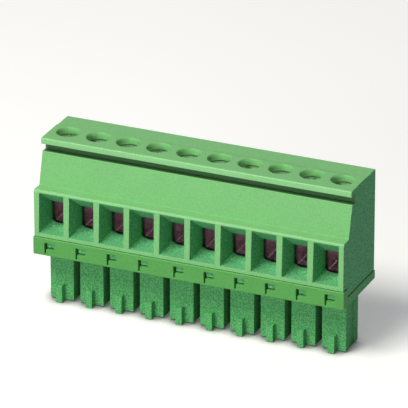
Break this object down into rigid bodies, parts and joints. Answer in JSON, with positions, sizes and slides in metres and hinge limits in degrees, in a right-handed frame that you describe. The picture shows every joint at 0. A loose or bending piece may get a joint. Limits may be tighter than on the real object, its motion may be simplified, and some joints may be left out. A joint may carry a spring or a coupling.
{
  "type": "pluggable terminal block",
  "caption": "Green pluggable terminal block with screw clamps on top, side wire entries at the front and plug fingers pointing down.",
  "frame": {"origin": "middle of the block's outline, in the plane of the finger tips", "axes": "+X along the row of poles, -Y towards the wire entries, +Z from the finger tips to the clamp screws"},
  "size_m": [0.0388, 0.0096, 0.0206],
  "materials": {
    "green_housing": "moulded, semi-matt",
    "green_plug_body": "moulded, fine eroded texture",
    "zinc_screw": "zinc plated",
    "nickel_cage": "nickel plated, folded sheet",
    "tinned_contact": "tin plated"
  },
  "bodies": {
    "root": {"upper_housing": "green_housing", "plug_body": "green_plug_body", "contact_1": "tinned_contact", "contact_2": "tinned_contact", "contact_3": "tinned_contact", "contact_4": "tinned_contact", "contact_5": "tinned_contact", "contact_6": "tinned_contact", "contact_7": "tinned_contact", "contact_8": "tinned_contact", "contact_9": "tinned_contact", "contact_10": "tinned_contact"},
    "screw_1": {"clamp_screw_1": "zinc_screw"},
    "cage_1": {"clamp_cage_1": "nickel_cage"},
    "screw_2": {"clamp_screw_2": "zinc_screw"},
    "cage_2": {"clamp_cage_2": "nickel_cage"},
    "screw_3": {"clamp_screw_3": "zinc_screw"},
    "cage_3": {"clamp_cage_3": "nickel_cage"},
    "screw_4": {"clamp_screw_4": "zinc_screw"},
    "cage_4": {"clamp_cage_4": "nickel_cage"},
    "screw_5": {"clamp_screw_5": "zinc_screw"},
    "cage_5": {"clamp_cage_5": "nickel_cage"},
    "screw_6": {"clamp_screw_6": "zinc_screw"},
    "cage_6": {"clamp_cage_6": "nickel_cage"},
    "screw_7": {"clamp_screw_7": "zinc_screw"},
    "cage_7": {"clamp_cage_7": "nickel_cage"},
    "screw_8": {"clamp_screw_8": "zinc_screw"},
    "cage_8": {"clamp_cage_8": "nickel_cage"},
    "screw_9": {"clamp_screw_9": "zinc_screw"},
    "cage_9": {"clamp_cage_9": "nickel_cage"},
    "screw_10": {"clamp_screw_10": "zinc_screw"},
    "cage_10": {"clamp_cage_10": "nickel_cage"}
  },
  "joints": [
    {"name": "screw_1_turn", "type": "hinge", "parent": "root", "child": "screw_1", "pos_m": [-0.01715, 0.0003, 0.0195], "axis": [0, 0, -1], "range_deg": [0, 2160]},
    {"name": "cage_1_rise", "type": "slide", "parent": "root", "child": "cage_1", "axis": [0, 0, 1], "range_m": [0, 0.0024]},
    {"name": "screw_2_turn", "type": "hinge", "parent": "root", "child": "screw_2", "pos_m": [-0.01333, 0.0003, 0.0195], "axis": [0, 0, -1], "range_deg": [0, 2160]},
    {"name": "cage_2_rise", "type": "slide", "parent": "root", "child": "cage_2", "axis": [0, 0, 1], "range_m": [0, 0.0024]},
    {"name": "screw_3_turn", "type": "hinge", "parent": "root", "child": "screw_3", "pos_m": [-0.00953, 0.0003, 0.0195], "axis": [0, 0, -1], "range_deg": [0, 2160]},
    {"name": "cage_3_rise", "type": "slide", "parent": "root", "child": "cage_3", "axis": [0, 0, 1], "range_m": [0, 0.0024]},
    {"name": "screw_4_turn", "type": "hinge", "parent": "root", "child": "screw_4", "pos_m": [-0.00571, 0.0003, 0.0195], "axis": [0, 0, -1], "range_deg": [0, 2160]},
    {"name": "cage_4_rise", "type": "slide", "parent": "root", "child": "cage_4", "axis": [0, 0, 1], "range_m": [0, 0.0024]},
    {"name": "screw_5_turn", "type": "hinge", "parent": "root", "child": "screw_5", "pos_m": [-0.00191, 0.0003, 0.0195], "axis": [0, 0, -1], "range_deg": [0, 2160]},
    {"name": "cage_5_rise", "type": "slide", "parent": "root", "child": "cage_5", "axis": [0, 0, 1], "range_m": [0, 0.0024]},
    {"name": "screw_6_turn", "type": "hinge", "parent": "root", "child": "screw_6", "pos_m": [0.00191, 0.0003, 0.0195], "axis": [0, 0, -1], "range_deg": [0, 2160]},
    {"name": "cage_6_rise", "type": "slide", "parent": "root", "child": "cage_6", "axis": [0, 0, 1], "range_m": [0, 0.0024]},
    {"name": "screw_7_turn", "type": "hinge", "parent": "root", "child": "screw_7", "pos_m": [0.00571, 0.0003, 0.0195], "axis": [0, 0, -1], "range_deg": [0, 2160]},
    {"name": "cage_7_rise", "type": "slide", "parent": "root", "child": "cage_7", "axis": [0, 0, 1], "range_m": [0, 0.0024]},
    {"name": "screw_8_turn", "type": "hinge", "parent": "root", "child": "screw_8", "pos_m": [0.00953, 0.0003, 0.0195], "axis": [0, 0, -1], "range_deg": [0, 2160]},
    {"name": "cage_8_rise", "type": "slide", "parent": "root", "child": "cage_8", "axis": [0, 0, 1], "range_m": [0, 0.0024]},
    {"name": "screw_9_turn", "type": "hinge", "parent": "root", "child": "screw_9", "pos_m": [0.01333, 0.0003, 0.0195], "axis": [0, 0, -1], "range_deg": [0, 2160]},
    {"name": "cage_9_rise", "type": "slide", "parent": "root", "child": "cage_9", "axis": [0, 0, 1], "range_m": [0, 0.0024]},
    {"name": "screw_10_turn", "type": "hinge", "parent": "root", "child": "screw_10", "pos_m": [0.01715, 0.0003, 0.0195], "axis": [0, 0, -1], "range_deg": [0, 2160]},
    {"name": "cage_10_rise", "type": "slide", "parent": "root", "child": "cage_10", "axis": [0, 0, 1], "range_m": [0, 0.0024]}
  ],
  "couplings": [
    {"joint": "screw_1_turn", "follows": "cage_1_rise", "rad_per_m": 15708},
    {"joint": "screw_2_turn", "follows": "cage_2_rise", "rad_per_m": 15708},
    {"joint": "screw_3_turn", "follows": "cage_3_rise", "rad_per_m": 15708},
    {"joint": "screw_4_turn", "follows": "cage_4_rise", "rad_per_m": 15708},
    {"joint": "screw_5_turn", "follows": "cage_5_rise", "rad_per_m": 15708},
    {"joint": "screw_6_turn", "follows": "cage_6_rise", "rad_per_m": 15708},
    {"joint": "screw_7_turn", "follows": "cage_7_rise", "rad_per_m": 15708},
    {"joint": "screw_8_turn", "follows": "cage_8_rise", "rad_per_m": 15708},
    {"joint": "screw_9_turn", "follows": "cage_9_rise", "rad_per_m": 15708},
    {"joint": "screw_10_turn", "follows": "cage_10_rise", "rad_per_m": 15708}
  ]
}
